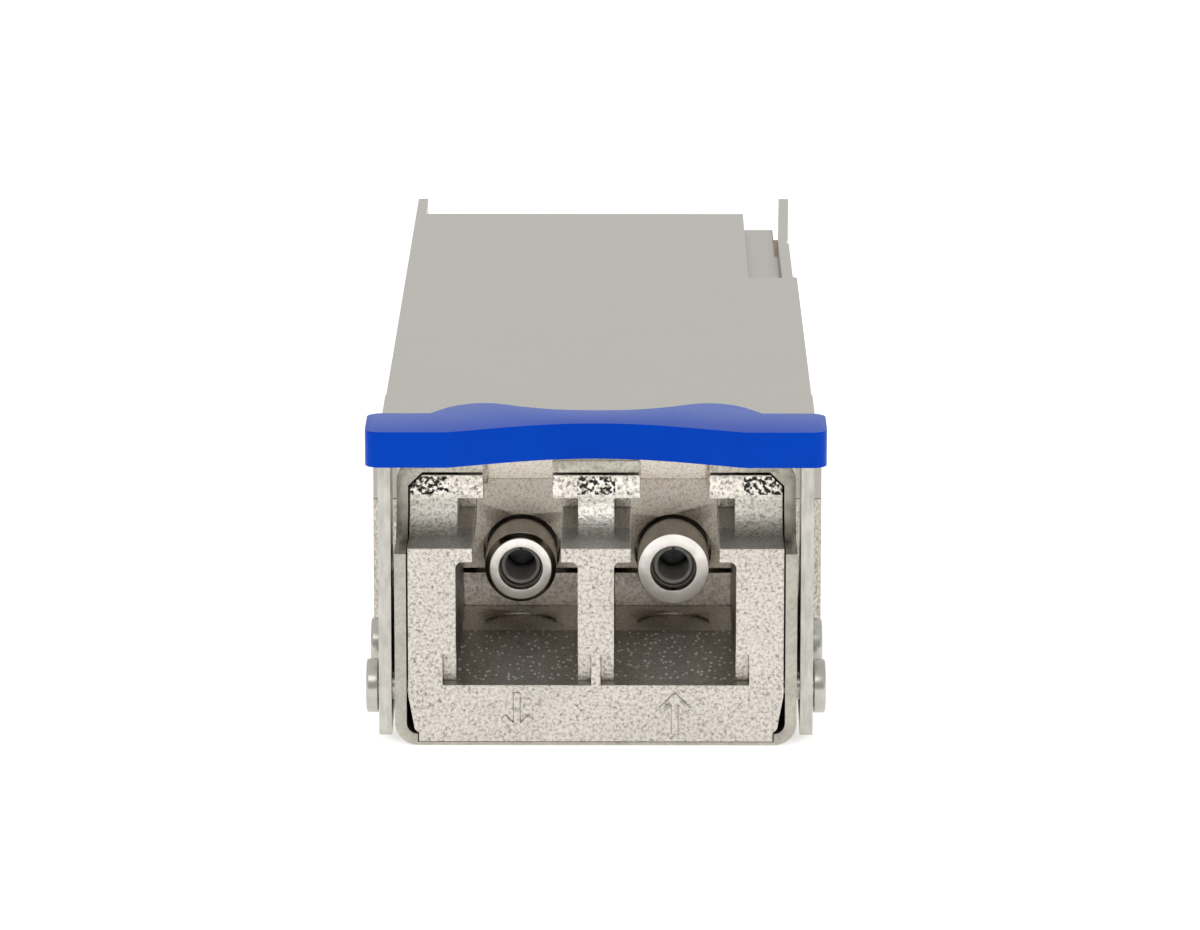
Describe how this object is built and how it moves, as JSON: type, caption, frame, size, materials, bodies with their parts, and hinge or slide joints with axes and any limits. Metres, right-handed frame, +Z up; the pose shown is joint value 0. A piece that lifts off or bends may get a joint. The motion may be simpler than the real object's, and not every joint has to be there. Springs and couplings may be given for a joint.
{
  "type": "optical transceiver module",
  "caption": "Pluggable optical transceiver with a two-part cast housing, duplex LC receptacle nose, card edge and a swinging bail that draws side release slides.",
  "frame": {"origin": "centre of the bounding box in plan, on the flat underside of the housing (z = 0)", "axes": "+X to the right of someone facing the ports, +Y from the ports to the card edge, +Z up through the cover"},
  "size_m": [0.0184, 0.0724, 0.0126],
  "materials": {
    "cast_zinc": "nickel-plated zinc die casting, fine matte grain",
    "plated_sheet": "plated stamped steel sheet, satin",
    "rivet_steel": "bright turned steel",
    "grip_plastic": "moulded plastic, satin with fine pores",
    "barrel_steel": "turned stainless steel, bright end face",
    "zirconia": "polished zirconia",
    "fibre_glass": "polished ferrule end with a glass core",
    "gold_plate": "gold plating",
    "polyimide": "polyimide film",
    "board_laminate": "green solder mask",
    "chip_package": "moulded chip package",
    "chip_ceramic": "sintered ceramic",
    "thermal_putty": "soft gap filler",
    "label_film": "blank white label film"
  },
  "bodies": {
    "module": {"receptacle_insert": "cast_zinc", "lower_housing": "cast_zinc", "upper_housing": "cast_zinc", "nose_shell": "plated_sheet", "optics_clamp": "plated_sheet", "pivot_pin_left": "rivet_steel", "pivot_pin_right": "rivet_steel", "return_spring_left": "rivet_steel", "return_spring_right": "rivet_steel", "housing_screw_1": "rivet_steel", "housing_screw_2": "rivet_steel", "housing_screw_3": "rivet_steel", "housing_screw_4": "rivet_steel", "reference_crystal": "rivet_steel", "tx_barrel": "barrel_steel", "rx_barrel": "barrel_steel", "tx_split_sleeve": "zirconia", "rx_split_sleeve": "zirconia", "tx_fibre_stub": "fibre_glass", "rx_fibre_stub": "fibre_glass", "tx_optical_can": "gold_plate", "rx_optical_can": "gold_plate", "edge_contacts_top": "gold_plate", "edge_contacts_bottom": "gold_plate", "tx_flex_circuit": "polyimide", "rx_flex_circuit": "polyimide", "circuit_board": "board_laminate", "laser_driver_chip": "chip_package", "receiver_amplifier_chip": "chip_package", "retimer_chip": "chip_package", "microcontroller": "chip_package", "power_inductor": "chip_ceramic", "capacitor_1": "chip_ceramic", "capacitor_2": "chip_ceramic", "capacitor_3": "chip_ceramic", "capacitor_4": "chip_ceramic", "retimer_thermal_pad": "thermal_putty", "controller_thermal_pad": "thermal_putty", "blank_label": "label_film"},
    "bail": {"bail_frame": "plated_sheet", "bail_grip": "grip_plastic", "cam_pin_left": "rivet_steel", "cam_pin_right": "rivet_steel"},
    "left_release": {"latch_slide_left": "plated_sheet"},
    "right_release": {"latch_slide_right": "plated_sheet"}
  },
  "joints": [
    {"name": "bail_pivot", "type": "hinge", "parent": "module", "child": "bail", "pos_m": [0, -0.03444, 0.002], "axis": [1, 0, 0], "range_deg": [0, 90]},
    {"name": "left_release_slide", "type": "slide", "parent": "module", "child": "left_release", "axis": [0, -1, 0], "range_m": [0, 0.00251], "stiffness_N_per_m": 120, "deforming": ["return_spring_left"]},
    {"name": "right_release_slide", "type": "slide", "parent": "module", "child": "right_release", "axis": [0, -1, 0], "range_m": [0, 0.00251], "stiffness_N_per_m": 120, "deforming": ["return_spring_right"]}
  ],
  "couplings": [
    {"joint": "bail_pivot", "follows": "left_release_slide", "rad_per_m": 625},
    {"joint": "right_release_slide", "follows": "left_release_slide", "ratio": 1}
  ]
}
